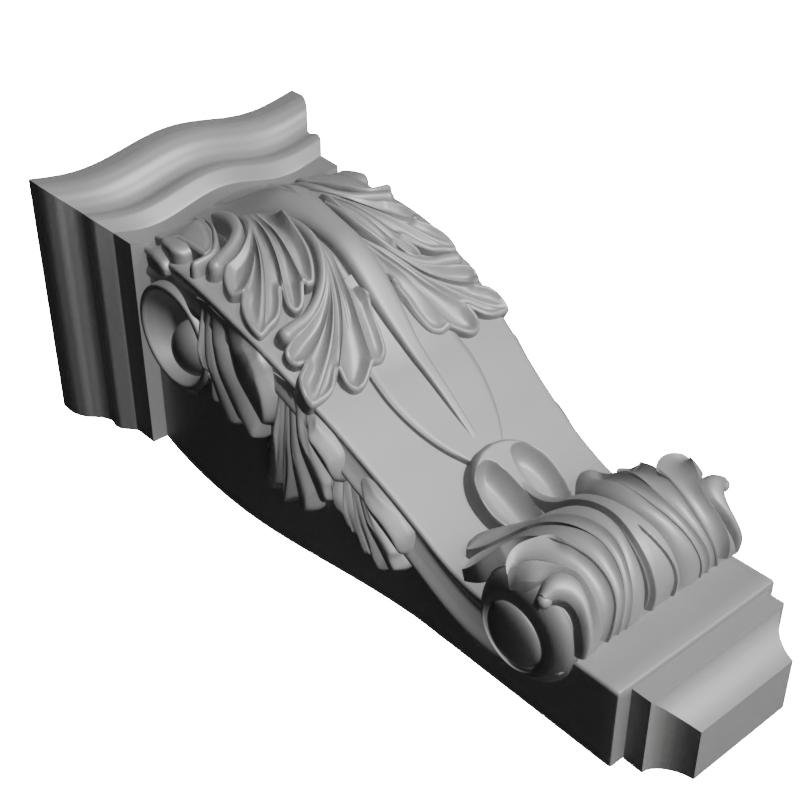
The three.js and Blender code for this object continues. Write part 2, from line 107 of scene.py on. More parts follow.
class CorbelFinish(bpy.types.PropertyGroup):
    """Paint and wood of the corbel"""

    paint: bpy.props.FloatVectorProperty(
        name="Paint", description="Colour of the satin paint",
        default=(0.17, 0.17, 0.17), min=0.0, max=1.0, subtype="COLOR")
    roughness: bpy.props.FloatProperty(
        name="Roughness", description="Satin of the paint",
        default=0.58, min=0.0, max=1.0, subtype="FACTOR")
    satin: bpy.props.FloatProperty(
        name="Satin", description="How strong the clear satin coat over the paint is",
        default=0.6, min=0.0, max=1.0, subtype="FACTOR")
    grain: bpy.props.FloatProperty(
        name="Grain", description="How much of the wood's grain shows through the paint",
        default=0.35, min=0.0, max=1.0, subtype="FACTOR")


class CorbelStudio(bpy.types.PropertyGroup):
    """Light around the corbel"""

    key_power: bpy.props.FloatProperty(
        name="Key power", description="Power of the large soft light",
        default=50.0, min=0.0, unit="POWER")
    fill_power: bpy.props.FloatProperty(
        name="Fill power", description="Power of the weak light from the left",
        default=0.3, min=0.0, unit="POWER")
    back_power: bpy.props.FloatProperty(
        name="Back power", description="Power of the light that shows the back and the top",
        default=30.0, min=0.0, unit="POWER")
    air: bpy.props.FloatProperty(
        name="Air", description="Brightness of the light from all round",
        default=0.012, min=0.0, max=1.0, subtype="FACTOR")


def sizes():
    return bpy.context.scene.corbel_sizes


def modules():
    """The size of one module across, out and up, in metres."""
    s = sizes()
    high = CAP_BOX[0].z - BODY_BOX[0].z
    return s.shoulder_width / MODULES_WIDE, s.body_depth / MODULES_DEEP, high / MODULES_HIGH


def place(points):
    """Points [across, out, up] in modules as places in metres."""
    across, out, up = modules()
    p = np.asarray(points, float)
    return np.stack([p[..., 0] * across, -p[..., 1] * out,
                     BODY_BOX[0].z + (p[..., 2] - FOOT) * up], -1)


# Numbers

def ease(low, high, value):
    t = np.clip((np.asarray(value, float) - low) / (high - low), 0.0, 1.0)
    return t * t * (3 - 2 * t)


def mix(a, b, t):
    return a + (b - a) * t


def bell(value, middle, half):
    return np.exp(-(((np.asarray(value, float) - middle) / half) ** 2))


def hermite(a, b, slope_a, slope_b, t):
    """The cubic from a to b that starts and ends with the two slopes."""
    return ((2 * t**3 - 3 * t**2 + 1) * a + (t**3 - 2 * t**2 + t) * slope_a
            + (3 * t**2 - 2 * t**3) * b + (t**3 - t**2) * slope_b)


def smooth_through(knots, corners=()):
    """A smooth curve through rows of knots as a function of the row number. A corner breaks it."""
    k = np.asarray(knots, float)
    last = len(k) - 1
    before = np.empty_like(k)
    after = np.empty_like(k)
    for i in range(last + 1):
        low, high = max(i - 1, 0), min(i + 1, last)
        before[i] = after[i] = (k[high] - k[low]) / (high - low)
        if i in corners:
            before[i] = k[i] - k[low]
            after[i] = k[high] - k[i]

    def at(where):
        w = np.clip(np.asarray(where, float), 0, last)
        i = np.minimum(w.astype(int), last - 1)
        return hermite(k[i], k[i + 1], after[i], before[i + 1], (w - i)[..., None])

    return at


def curve_through(knots):
    """A smooth curve through [place, value] knots, as a function of place."""
    k = np.asarray(knots, float)
    slope = np.gradient(k[:, 1], k[:, 0])
    slope[1:-1] = (k[2:, 1] - k[:-2, 1]) / (k[2:, 0] - k[:-2, 0])

    def at(value):
        v = np.clip(np.asarray(value, float), k[0, 0], k[-1, 0])
        i = np.clip(np.searchsorted(k[:, 0], v) - 1, 0, len(k) - 2)
        span = k[i + 1, 0] - k[i, 0]
        return hermite(k[i, 1], k[i + 1, 1], span * slope[i], span * slope[i + 1],
                       (v - k[i, 0]) / span)

    return at


# Meshes

def loft(rings, caps=None):
    """Points and faces of a closed skin over rings of points, facing out. Each end is one flat
    face, or the caps, as lists of places in a ring."""
    r = np.asarray(rings, float)
    count, around = r.shape[:2]
    points = r.reshape(-1, 3)
    index = np.arange(count * around).reshape(count, around)
    a, b = index[:-1], np.roll(index, -1, 1)[:-1]
    c, d = np.roll(index, -1, 1)[1:], index[1:]
    quads = np.stack([a, b, c, d], -1).reshape(-1, 4)
    p = points[quads]
    inside = points.mean(0)
    volume = np.einsum("ij,ij->i", p[:, 0] - inside, np.cross(p[:, 1] - inside, p[:, 2] - inside))
    volume += np.einsum("ij,ij->i", p[:, 0] - inside, np.cross(p[:, 2] - inside, p[:, 3] - inside))
    ends = []
    for cap in caps or [list(range(around))]:
        ends.append(index[0][cap][::-1].tolist())
        ends.append(index[-1][cap].tolist())
    faces = quads.tolist() + ends
    if volume.sum() < 0:
        faces = [face[::-1] for face in faces]
    return points, faces


def show(name, data):
    """A new object in the scene."""
    item = bpy.data.objects.new(name, data)
    bpy.context.scene.collection.objects.link(item)
    return item


def build(name, parts):
    """One painted mesh object of several closed skins."""
    points = []
    faces = []
    start = 0
    for part_points, part_faces in parts:
        points.append(part_points)
        faces += [[start + i for i in face] for face in part_faces]
        start += len(part_points)
    mesh = bpy.data.meshes.new(name)
    mesh.from_pydata(np.concatenate(points).tolist(), [], faces)
    mesh.validate()
    mesh.shade_smooth()
    mesh.set_sharp_from_angle(angle=math.radians(SHARP_CARVING))
    mesh.materials.append(paint())
    return show(name, mesh)


def settle(piece, modifier):
    """Makes a modifier's result the piece's plain mesh."""
    graph = bpy.context.evaluated_depsgraph_get()
    mesh = bpy.data.meshes.new_from_object(piece.evaluated_get(graph))
    piece.modifiers.remove(modifier)
    old = piece.data
    piece.data = mesh
    bpy.data.meshes.remove(old)
    mesh.name = piece.name


def mirrored(make):
    """What a function makes for the left side and for the right side."""
    return make(-1) + make(1)


def fit(piece, slot, *nodes):
    """The piece rides on the corbel and stands for the nodes, which it hides. The slot is not used."""
    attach(piece, "root")
    if nodes:
        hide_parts(*nodes)


# The front and side faces of the body

front_depth = curve_through([
    (FOOT, 10.6), (22, 10.4), (28, 10.7), (33, 12.3), (42, 17.2),
    (51, 22.6), (60, 27.1), (68, 29.4), (76, 30), (TOP, 28.9)])

band_edge = curve_through([
    (13, 9.2), (14.5, 7.7), (16.6, 6.2), (20.7, 4.3), (24.5, 4), (29.7, 5.3),
    (37.9, 9.7), (46, 15.4), (52, 19.3), (60, 23), (68, 25)])


# Levels between which the sides spread from the foot to the shoulder
SPREAD = (34, 66)


def half_width(up):
    s = sizes()
    neck = SHOULDER_HALF * s.neck_width / s.shoulder_width
    foot = SHOULDER_HALF * s.foot_width / s.shoulder_width
    shoulder = SPREAD[1]
    upper = SHOULDER_HALF - (SHOULDER_HALF - neck) * ((up - shoulder) / (TOP - shoulder)) ** 2
    return np.where(up > shoulder, upper, mix(foot, SHOULDER_HALF, ease(*SPREAD, up)))


# The swell between the upper leaves: its height, how much of it goes again under the cap,
# the levels of both, and its half width
SWELL_RISE = 4.2
SWELL_RISES = (50, 64)
SWELL_FALL = 3.0
SWELL_FALLS = (73, TOP)
SWELL_HALF = 6


def swell(across, up):
    """How far the middle of the front swells out."""
    rise = SWELL_RISE * ease(*SWELL_RISES, up) - SWELL_FALL * ease(*SWELL_FALLS, up)
    return rise * bell(across, 0, SWELL_HALF)


def on_front(across, up, lift):
    """A place on the front face, lifted squarely off it."""
    up = np.asarray(up, float)
    slope = (front_depth(up + 0.1) - front_depth(up - 0.1)) / 0.2
    length = np.hypot(1, slope)
    out = front_depth(up) + swell(across, up) + lift / length
    return np.stack(np.broadcast_arrays(
        across, out, np.minimum(up - lift * slope / length, TOP - 0.1)), -1)


def on_side(side):
    """Places on a side face, from (out, up, lift)."""
    def at(out, up, lift):
        return np.stack(np.broadcast_arrays(side * (half_width(up) + lift), out, up), -1)
    return at


# The raised band down each side: how proud it stands and how deep the channel beside it is,
# how high the front corner rises, and the corner's radius
BAND_PROUD = 1.15
BAND_DIP = 0.45
BAND_RISE = 0.4
CORNER = 0.45


def core_ring(up, inset=0.0):
    """One level of the body: flat back, side with its raised band and channel, flat front."""
    side = half_width(up) - inset
    front = front_depth(up) - inset
    edge = min(band_edge(up), front - 1.5)
    width = front - edge
    proud = BAND_PROUD * ease(13, 13.8, up) * (1 - 0.6 * ease(45, 60, up))
    rise = BAND_RISE * ease(13, 20, up)
    dip = BAND_DIP * ease(16, 24, up) * (1 - 0.7 * ease(44, 58, up))
    lip = curve_through([(0, 0.55 * proud), (0.04, 0.86 * proud), (0.1, proud), (0.2, 0.9 * proud),
                         (0.4, mix(proud, -dip, 0.6)), (0.62, -dip), (0.85, mix(-dip, rise, 0.75)),
                         (0.96, rise), (1, rise)])
    share = np.concatenate([np.linspace(0, 0.1, 6)[:-1], np.linspace(0.1, 1, 26)])
    wall = [(side, out) for out in np.linspace(0, edge - 0.12, 8)]
    step = [(side + 0.3 * proud, edge - 0.04)]
    band = [(side + lip(s), edge + s * (width - CORNER)) for s in share]
    corner_half = side + rise
    corner = [(corner_half - CORNER * (1 - math.cos(a)), front - CORNER * (1 - math.sin(a)))
              for a in np.radians([20, 45, 70])]
    half = wall + step + band + corner
    across = np.linspace(-1, 1, 61) * (corner_half - CORNER)
    middle = np.stack([across, front + swell(across, up), np.full_like(across, up)], -1)
    left = np.array([(-x, out, up) for x, out in half])
    right = np.array([(x, out, up) for x, out in half[::-1]])
    return np.concatenate([left, middle, right])


def core():
    levels = np.concatenate([[FOOT + 0.35, 8.5, 10.5, 12.5, 13], np.linspace(13.1, TOP - 0.1, 260)])
    rings = [core_ring(FOOT, 0.35), core_ring(FOOT + 0.12, 0.1)] + [core_ring(up) for up in levels]
    return [loft([place(ring) for ring in rings])]


# Scrolls

def turned(rings, around=96):
    """A closed skin of circles about lines across the corbel. A ring is
    (across, out of its middle, up of its middle, radius)."""
    angle = np.linspace(0, 2 * math.pi, around, endpoint=False)
    skin = [np.stack([np.full_like(angle, x), out + r * np.sin(angle), up + r * np.cos(angle)], -1)
            for x, out, up, r in rings]
    return loft([place(ring) for ring in skin])


def round_end(knots, corners, middle, eye, dome):
    """Rings of a roll's end: a profile of (across, share of the way to the eye, radius), then
    the eye's dome, as (across, bulge, radius). Middles are (out, up)."""
    profile = smooth_through(knots, corners)
    rings = []
    for across, toward_eye, radius in profile(np.linspace(0, len(knots) - 1, 60)):
        rings.append((across, mix(middle[0], eye[0], toward_eye),
                      mix(middle[1], eye[1], toward_eye), radius))
    foot, bulge, radius = dome
    for angle in np.radians(np.linspace(0, 88, 16)):
        rings.append((foot + bulge * math.sin(angle), *eye, radius * math.cos(angle)))
    return rings


ROLL = (10.9, 19.2)
ROLL_RADIUS = 6.7
ROLL_EYE = (9.5, 20.25)
ROLL_DOME = (13.4, 1.3, 3.86)


def lower_roll():
    """The bare roll, with a rounded ring and a domed eye at each end."""
    rings = round_end([
        (0, 0.0, ROLL_RADIUS), (11.0, 0.0, ROLL_RADIUS), (12.4, 0.0, 6.55), (13.3, 0.1, 6.05),
        (13.9, 0.35, 5.2), (13.9, 0.75, 4.5), (13.75, 0.96, 4.2), (13.6, 1, 4.02),
        (ROLL_DOME[0], 1, 3.9)], (8,), ROLL, ROLL_EYE, ROLL_DOME)
    return [turned([(-across, *ring) for across, *ring in rings[::-1]] + rings[1:])]


SCROLL = (19.9, 77.0)
SCROLL_RADIUS = 7.1
SCROLL_PROUD = 1.2
SCROLL_DISH = 3.4
SCROLL_HOLE = 6.7
SCROLL_EYE = (17.4, 76.5)


def upper_scroll(side):
    """A dished disc with a rounded rim and a domed eye."""
    face = float(half_width(SCROLL[1])) + SCROLL_PROUD
    floor = face - SCROLL_DISH
    rings = round_end([
        (10, 0, SCROLL_RADIUS), (face - 0.7, 0, SCROLL_RADIUS), (face - 0.15, 0, 6.95),
        (face, 0, 6.6), (face - 0.1, 0, 6.3), (face - 0.7, 0.02, 6.0), (face - 1.8, 0.15, 5.4),
        (face - 2.9, 0.4, 4.6), (floor, 0.8, 4.0)], (1,), SCROLL, SCROLL_EYE, (floor, 3.1, 3.7))
    return [turned([(side * across, *ring) for across, *ring in rings])]


def scroll_hole(side):
    """What is cut out of the body's side for the dished scroll."""
    return turned([(side * across, *SCROLL, SCROLL_HOLE) for across in (12.3, 20)], 64)


def cut(piece, parts):
    """Takes closed skins out of a piece."""
    cutter = build("cutter", parts)
    hollow = piece.modifiers.new("hollow", "BOOLEAN")
    hollow.operation = "DIFFERENCE"
    hollow.object = cutter
    hollow.solver = "EXACT"
    settle(piece, hollow)
    bpy.data.meshes.remove(cutter.data)


# Leaves that fan out from a root line to a lobed rim, a list of (place, place, height), with
# a mark at each notch between two lobes. Each main line starts at a root, bends towards a
# turn and ends at the rim. Roots and turns are (place along the rim, place, place).

NOTCH = "notch"

# Rows along a main line up to its last tenth, and then towards the rim; points of the
# underside on each main line; shares of the way down a leaf's wall
LEAF_ROWS = 56
LAST_ROWS = (0.945, 0.958, 0.97, 0.98, 0.988, 0.995, 1.0)
UNDERSIDE = 16
WALL_ROWS = (0.45, 0.9)

# A flute this wide has its full depth, and a higher power makes its bottom flatter. The lip
# is this far in from the edge, as a share of the rounding, and this half width.
FLUTE_WIDTH = 2.4
FLUTE_POWER = 2.2
LIP_PLACE = 1.2
LIP_HALF = 0.22


def notches(rim):
    return [i for i, point in enumerate(rim) if NOTCH in point]


def bezier(start, turn, end, t):
    """Places on the bend from start to end that leans towards the turn."""
    t = t[..., None]
    return (1 - t) ** 2 * start + 2 * t * (1 - t) * turn + t**2 * end


def guide(knots):
    """A line of places as a smooth function of the place along a leaf's rim."""
    k = np.asarray(knots, float)
    u, v = curve_through(k[:, :2]), curve_through(k[:, [0, 2]])
    return lambda s: np.stack([u(s), v(s)], -1)


def distance_to(outline, points):
    """Distance of points to a line of points, in modules."""
    a = outline[:-1]
    d = outline[1:] - a
    length2 = np.maximum((d**2).sum(-1), 1e-12)
    flat = points.reshape(-1, 2)
    best = np.full(len(flat), 1e9)
    for start in range(0, len(flat), 4000):
        p = flat[start:start + 4000, None]
        t = np.clip(((p - a) * d).sum(-1) / length2, 0, 1)
        gap = p - a - t[..., None] * d
        best[start:start + 4000] = np.sqrt((gap**2).sum(-1)).min(-1)
    return best.reshape(points.shape[:-1])


def fan(rim, roots, turns, at, heights, arrises, gouge=0.7, lip=0.12, round_edge=0.35,
        per_line=14, close=(0.3, 1.5), fade=(0.05, 0.35), reach=1.0):
    """A leaf of main lines with a flute between each two arrises and a thin lip along the
    edge. An arris is a place along the rim. The heights are those at the root and at the
    belly, and reach scales the heights of the rim. The flutes close towards the edge and
    fade towards the root."""
    table = np.array([point[:3] for point in rim], float)
    last = len(rim) - 1
    along = smooth_through(table, notches(rim))
    near = np.array([0.03, 0.08, 0.16])
    s = np.unique(np.concatenate([np.linspace(0, last, last * per_line + 1), near, last - near]))
    t = np.concatenate([np.linspace(0, 0.93, LEAF_ROWS), LAST_ROWS])
    main = along(s)
    root = guide(roots)(s)
    turn = guide(turns)(s)
    S, T = np.meshgrid(s, t, indexing="ij")
    plan = bezier(root[:, None], turn[:, None], main[:, None, :2], T)
    outline = along(np.linspace(0, last, last * 24 + 1))[:, :2]
    edge = distance_to(np.concatenate([plan[0], outline, plan[-1][::-1]]), plan)
    width = np.linalg.norm(np.gradient(plan, s, axis=0), axis=-1)
    relief = np.zeros_like(S)
    for low, high in zip(arrises[:-1], arrises[1:]):
        share = np.abs(2 * (S - low) / (high - low) - 1)
        depth = gouge * np.clip(width * (high - low) / FLUTE_WIDTH, 0, 1)
        relief -= np.where(share <= 1, depth * (1 - np.minimum(share, 1) ** FLUTE_POWER), 0)
    relief = relief * ease(*fade, T)
    root_height, belly = heights
    height = mix(root_height, belly, ease(0.1, 0.55, T))
    height = mix(height, reach * main[:, None, 2], ease(0.6, 1, T))
    height = height + sizes().relief * relief * ease(*close, edge)
    height = height + lip * bell(edge, LIP_PLACE * round_edge, LIP_HALF) * ease(0.1, 0.4, T)
    rounding = np.clip(1 - edge / round_edge, 0, 1)
    height = height - round_edge * (1 - np.sqrt(1 - rounding**2))
    upper = at(plan[..., 0], plan[..., 1], height)
    walls = [at(plan[:, -1, 0], plan[:, -1, 1], mix(height[:, -1], -0.2, share))
             for share in WALL_ROWS]
    under = np.linspace(len(t) - 1, 0, UNDERSIDE).round().astype(int)
    base = at(plan[:, under, 0], plan[:, under, 1], -SINK)
    rings = np.concatenate([upper] + [wall[:, None] for wall in walls] + [base], 1)
    below = len(t) + len(walls)
    caps = []
    for k in range(UNDERSIDE - 1):
        top_edge = list(range(under[k + 1], under[k] + 1))
        wall_edge = list(range(len(t), below)) if k == 0 else []
        caps.append(top_edge + wall_edge + [below + k, below + k + 1])
    return loft(place(rings), caps)


STRIP_ROWS = 110


def strip(knots, at, flat=2.6, ends=(True, True)):
    """A rounded strip with round ends along a line of (place, place, half width, lift). A
    larger flat makes a squarer section, and ends says which ends are round."""
    walk = smooth_through(knots)
    fine = walk(np.linspace(0, len(knots) - 1, 400))
    run = np.concatenate([[0], np.cumsum(np.linalg.norm(np.diff(fine[:, :2], axis=0), axis=1))])
    turn = 0.5 - 0.5 * np.cos(np.linspace(0, math.pi, STRIP_ROWS))
    where = run[-1] * (0.6 * turn + 0.4 * np.linspace(0, 1, STRIP_ROWS))
    line = np.stack([np.interp(where, run, fine[:, k]) for k in range(4)], 1)
    heading = np.gradient(line[:, :2], where, axis=0)
    heading /= np.linalg.norm(heading, axis=1)[:, None]
    shares = np.sin(np.linspace(-math.pi / 2, math.pi / 2, 25))
    rings = []
    for i in range(STRIP_ROWS):
        u, v, half, lift = line[i]
        left = [gap for gap, round_end in zip((where[i], run[-1] - where[i]), ends) if round_end]
        closing = min([1.0] + [gap / half for gap in left])
        full = math.sqrt(max(1e-4, 1 - (1 - closing) ** 2))
        offsets = shares * half * full
        top = lift * full ** 0.5 * np.clip(1 - np.abs(shares) ** flat, 0, 1) ** (1 / flat)
        x = u - offsets * heading[i, 1]
        z = v + offsets * heading[i, 0]
        rings.append(np.concatenate([at(x, z, top), at(x[[-1, 0]], z[[-1, 0]], -SINK)]))
    return loft(place(rings))


LOWER_RIM = [
    (-12, 58.6, 1.6), (-13.2, 58, 1.6), (-14.4, 57.2, 1.7), (-14.7, 56.1, 1.3), (-14.2, 55.3, 1.4),
    (-13.3, 55.1, 1.7, NOTCH), (-14.9, 54.1, 1.4), (-15.6, 52.5, 1.1), (-15.4, 51, 0.8), (-13.8, 50.9, 0.9),
    (-12.2, 51.3, 1.2), (-11.2, 52, 1.4), (-10.3, 52.9, 1.7, NOTCH), (-10.4, 51.5, 1.4), (-9.7, 50.4, 1),
    (-8.4, 50.3, 1.1), (-7.1, 51, 1.4), (-6, 51.8, 1.7, NOTCH), (-4.6, 51.7, 1.3), (-3.3, 52.5, 1.3),
    (-2.6, 54.1, 1.3), (-2.2, 55.6, 1.2), (-1.5, 57.2, 0.9)]
LOWER_ROOTS = [(0, -3, 70.5), (8, -2.3, 67.3), (17, -1.8, 63.6), (22, -1.5, 58.4)]
LOWER_TURNS = [(0, -1.9, 59.7), (5, -2.8, 58.8), (8, -3.3, 58.3), (12, -3.9, 58.2), (17, -4.1, 58.4),
               (22, -2.2, 57.8)]
LOWER_ARRISES = (0, 5, 7.7, 8.3, 12, 17, 22)
LOWER_BORDER = [
    (-2.9, 70.4, 0.35, 1.6), (-3.1, 67.2, 0.7, 2.2), (-3.5, 64.7, 0.75, 2.3), (-4.5, 62.6, 0.75, 2.3),
    (-5.7, 61.2, 0.75, 2.2), (-7.4, 60.1, 0.8, 2.2), (-9.5, 59.3, 0.85, 2.2), (-11.6, 59, 0.95, 2.3),
    (-14, 58.5, 1.1, 2.4)]

UPPER_RIM = [
    (-12.2, 70.6, 1.8), (-13, 69.8, 1.8), (-13.9, 68.7, 1.7), (-14.5, 67.3, 1.5), (-14.5, 66.3, 1.3),
    (-13.5, 65.7, 1.8, NOTCH), (-14.7, 64.4, 1.4), (-15.5, 62.2, 1.1), (-15.2, 60.1, 0.8), (-13.4, 60.5, 1),
    (-11.7, 61.1, 1.2), (-10.4, 62.3, 1.4), (-9.4, 63.7, 1.8, NOTCH), (-10.1, 61.9, 1.4), (-9.7, 60.7, 1.1),
    (-8.4, 60.9, 1.3), (-7.1, 62.6, 1.9, NOTCH), (-6.8, 62.1, 1.7), (-5.9, 62, 1.5), (-4.8, 63.4, 1.6),
    (-3.9, 65.4, 1.7), (-3.3, 67.9, 1.7), (-2.9, 70.4, 1.6)]
UPPER_ROOTS = [(0, -5, 80.5), (8, -4.6, 78.6), (16, -4, 76), (22, -3, 72.4)]
UPPER_TURNS = [(0, -5, 71.4), (5, -5.6, 70), (8, -6.2, 69.6), (12, -5.8, 69.4), (16, -5.4, 69.4),
               (22, -3.2, 71.4)]
UPPER_ARRISES = (0, 5, 7.7, 8.3, 12.3, 13, 16, 22)
UPPER_BORDER = [
    (-5.4, 82, 0.9, 1.4), (-6, 79.8, 1, 2), (-6.5, 76.8, 1, 2.2), (-7.5, 74.5, 1, 2.2),
    (-9.3, 73.1, 0.95, 2.2), (-11.3, 72.1, 0.95, 2.3), (-14.2, 70.6, 1.15, 2.5)]

# The curled leaf under the cap: a folded plate, its rolled lower edge and two rounded ends
CURL_RIM = [
    (-13.2, 73, 1.9), (-11.6, 73.5, 1.9), (-10.4, 74.6, 1.9), (-9.4, 76.2, 1.9), (-8.5, 78, 1.8),
    (-7.7, 80.4, 1.7)]
CURL_ROOTS = [(0, -13.2, 83.6), (5, -7.6, 83.6)]
CURL_TURNS = [(0, -13.2, 78.3), (5, -7.7, 82)]
CURL_EDGE = [
    (-7.7, 80.3, 0.22, 1.9), (-8.7, 77.5, 0.34, 2.2), (-10, 75.3, 0.45, 2.4), (-11.2, 73.7, 0.55, 2.4),
    (-12.6, 72.8, 0.6, 2.3), (-15.5, 72.7, 0.6, 2)]
CURL_END = [(-12.9, 81, 1.3, 1.9), (-13.3, 78.4, 1.7, 2), (-13.8, 75.6, 1.7, 2)]
CURL_CORNER = [(28.4, 82.4, 1.2, 1.2), (29, 80, 1.4, 1.4), (28.8, 77.2, 1.2, 1.2)]
CURL_PIT = [(-7.2, 80.6), (-7.6, 80.9), (-9, 77.6), (-9.7, 75), (-8.6, 74.8), (-7.4, 77.4)]


def flip(knots, side):
    """The left side's knots, on the given side."""
    return [(-side * knot[0], *knot[1:]) for knot in knots]


def flip_guide(knots, side):
    return [(s, -side * x, z) for s, x, z in knots]


def front_leaves(side):
    """The two leaves, the curled leaf and their borders on one half of the front."""
    def leaf(rim, roots, turns, *rest, **finish):
        return fan(flip(rim, side), flip_guide(roots, side), flip_guide(turns, side), on_front,
                   *rest, **finish)

    return [
        leaf(LOWER_RIM, LOWER_ROOTS, LOWER_TURNS, (0.6, 2.0), LOWER_ARRISES),
        leaf(UPPER_RIM, UPPER_ROOTS, UPPER_TURNS, (1.3, 2.4), UPPER_ARRISES),
        leaf(CURL_RIM, CURL_ROOTS, CURL_TURNS, (1.2, 2.0), (0, 5), gouge=-0.2, per_line=30),
        strip(flip(LOWER_BORDER, side), on_front, ends=(False, True)),
        strip(flip(UPPER_BORDER, side), on_front, ends=(False, True)),
        strip(flip(CURL_EDGE, side), on_front),
        strip(flip(CURL_END, side), on_front, flat=6),
        strip(CURL_CORNER, on_side(side), flat=3)]


def curl_pit(side):
    """What is cut out of the front behind the curled leaf's edge."""
    outline = np.array(flip(CURL_PIT, side))
    return loft(place([on_front(outline[:, 0], outline[:, 1], lift) for lift in (-4, 1)]))


# Side leaves: three fluted sprays that cascade down each side, each as its roots, its turns
# and its rim. Places are (out, up).

SIDE_SPRAYS = [
    ([(0, 27.8, 72), (7, 28.2, 69.5), (11, 27.6, 66.1), (14, 26.9, 61.6)],
     [(0, 25, 70), (5, 22, 67.6), (8, 21.6, 65.6), (11, 22.2, 61.4), (14, 26.4, 58.6)],
     [(20.4, 69.6, 1.5), (19.6, 68, 1, NOTCH), (16.4, 67.8, 1.8), (15.6, 66.6, 1.5),
      (16.4, 65.4, 0.9, NOTCH), (14.6, 64.2, 1.9), (14.6, 62.6, 1.8), (16, 61.4, 1, NOTCH), (14.6, 60.2, 2),
      (14.8, 58.8, 2.2), (17, 58.6, 1.2, NOTCH), (17.4, 57.2, 2.2), (19, 56.4, 2.3), (21.6, 56.7, 2),
      (24.2, 57.9, 1.6)]),
    ([(0, 24.2, 58.2), (7, 23.9, 55.8), (11, 23.2, 54.4), (15, 21.4, 52.2)],
     [(0, 17.8, 55.4), (5, 17, 53.4), (8, 17, 53.2), (11, 17.5, 51), (15, 20.6, 50.6)],
     [(13.6, 59, 1.8), (12.6, 57.6, 1, NOTCH), (9.6, 58.4, 1.8), (8, 57, 1.5), (9, 56, 0.9, NOTCH),
      (7.4, 54.9, 2), (8.4, 53.4, 1, NOTCH), (7.6, 51.8, 2), (8.6, 50.4, 2.2), (10.6, 50.2, 1.1, NOTCH),
      (10.6, 48.4, 2.1), (12, 47, 2.3), (13.6, 47.4, 1.2, NOTCH), (15.2, 46.2, 2.2), (17.6, 46.9, 1.9),
      (19.4, 48.8, 1.5)]),
    ([(0, 16.6, 49), (6, 16.8, 47.4), (13, 16.5, 45.9)],
     [(0, 14.3, 48.6), (6, 11.1, 42.6), (9, 12.2, 41.2), (13, 15.7, 41.8)],
     [(11.4, 47.8, 1.3), (10.6, 46.4, 0.9, NOTCH), (8.6, 45.6, 1.7), (8.6, 44.2, 0.9, NOTCH), (6, 43, 1.8),
      (6.8, 41.8, 0.9, NOTCH), (5, 40.4, 1.9), (6.6, 39.6, 1, NOTCH), (6.4, 38, 2), (7.6, 36.8, 2),
      (9, 37.6, 1, NOTCH), (10, 36.4, 2), (12, 37, 1.6), (13.6, 38.7, 1.3)]),
]


def side_leaves(side):
    """The three sprays of one side, with a crease at each notch of the rim."""
    leaves = []
    for roots, turns, rim in SIDE_SPRAYS:
        creases = [0, *notches(rim), len(rim) - 1]
        leaves.append(fan(rim, roots, turns, on_side(side), (0.1, 1.2), creases, gouge=-0.9,
                          lip=0.0, round_edge=0.7, close=(0.0, 0.9), fade=(0.02, 0.3), reach=0.6))
    return leaves


# Stem and sheath

stem_half = curve_through([
    (40, 0.5), (46, 0.8), (52, 1.2), (56, 1.8), (60, 2.05), (66, 2.1), (70, 2.7), (74, 4.2), (80, 7.2),
    (TOP, 8.6)])
stem_height = curve_through([(40, 0.8), (44, 1.3), (48, 1.6), (56, 1.9), (66, 1.8), (TOP, 1.6)])
sheath_half = curve_through([(37, 1.2), (41, 4.3), (45, 6.1), (49, 6.8), (54, 6.2), (60, 3.5)])


def ribbon(low, high, half, profile, rows):
    """A strip down the middle of the front, with a profile that gives shares of the half
    width and heights at a level."""
    rings = []
    for up in np.linspace(low, high, rows):
        shares, heights = profile(up)
        top = on_front(shares * half(up), up, heights)
        base = on_front(np.array([1, -1]) * half(up), up, -SINK)
        rings.append(np.concatenate([top, base]))
    return loft(place(rings))


def stem_profile(up):
    """A full rounded stem, with a fine vee down each half near the top."""
    shares = np.linspace(-1, 1, 61)
    heights = stem_height(up) * np.clip(1 - np.abs(shares) ** 5, 0, 1) ** 0.25
    vee = 0.22 * ease(71, 74, up) * bell(np.abs(shares), 0.5 * ease(71, 84, up), 0.05)
    return shares, heights - vee


def sheath_profile(up):
    """A thin flat plate with eased edges."""
    shares = np.linspace(-1, 1, 41)
    return shares, 0.9 - 0.25 * np.clip(np.abs(shares) * 10 - 9, 0, 1) ** 2


def middle_leaf():
    """The stem down the middle of the front, and the sheath that spreads from its end."""
    return [ribbon(40, TOP - 0.4, stem_half, stem_profile, 180),
            ribbon(37, 60, sheath_half, sheath_profile, 80)]


# The lower leaf flows over the roll in bands. Places are (across, turn): the turn is the
# angle about the roll from straight up, and below 45 degrees it climbs the hollow front.

# The hollow front above the roll as (out, up), one knot for each step of turn
HOLLOW_START = -45
HOLLOW_END = 45
HOLLOW_STEP = 15
hollow_front = smooth_through([
    (16, 39.3), (14.3, 36.5), (12.9, 33.8), (12.2, 31), (12.6, 28.3), (13.9, 25.9), (15.64, 23.94)])


def spine(turn):
    """The ground under the lower leaf, as (out, up)."""
    turn = np.asarray(turn, float)
    angle = np.radians(turn)
    hollow = hollow_front((turn - HOLLOW_START) / HOLLOW_STEP)
    on_round = turn > HOLLOW_END
    out = np.where(on_round, ROLL[0] + ROLL_RADIUS * np.sin(angle), hollow[..., 0])
    up = np.where(on_round, ROLL[1] + ROLL_RADIUS * np.cos(angle), hollow[..., 1])
    return out, up


def on_roll(across, turn, lift):
    """A place on the ground under the lower leaf, lifted squarely off it."""
    out, up = spine(turn)
    out2, up2 = spine(turn + 0.5)
    length = np.hypot(out2 - out, up2 - up)
    return np.stack(np.broadcast_arrays(
        across, out - lift * (up2 - up) / length, up + lift * (out2 - out) / length), -1)


BAND_ROWS = 150
MODULES_PER_DEGREE = 0.13


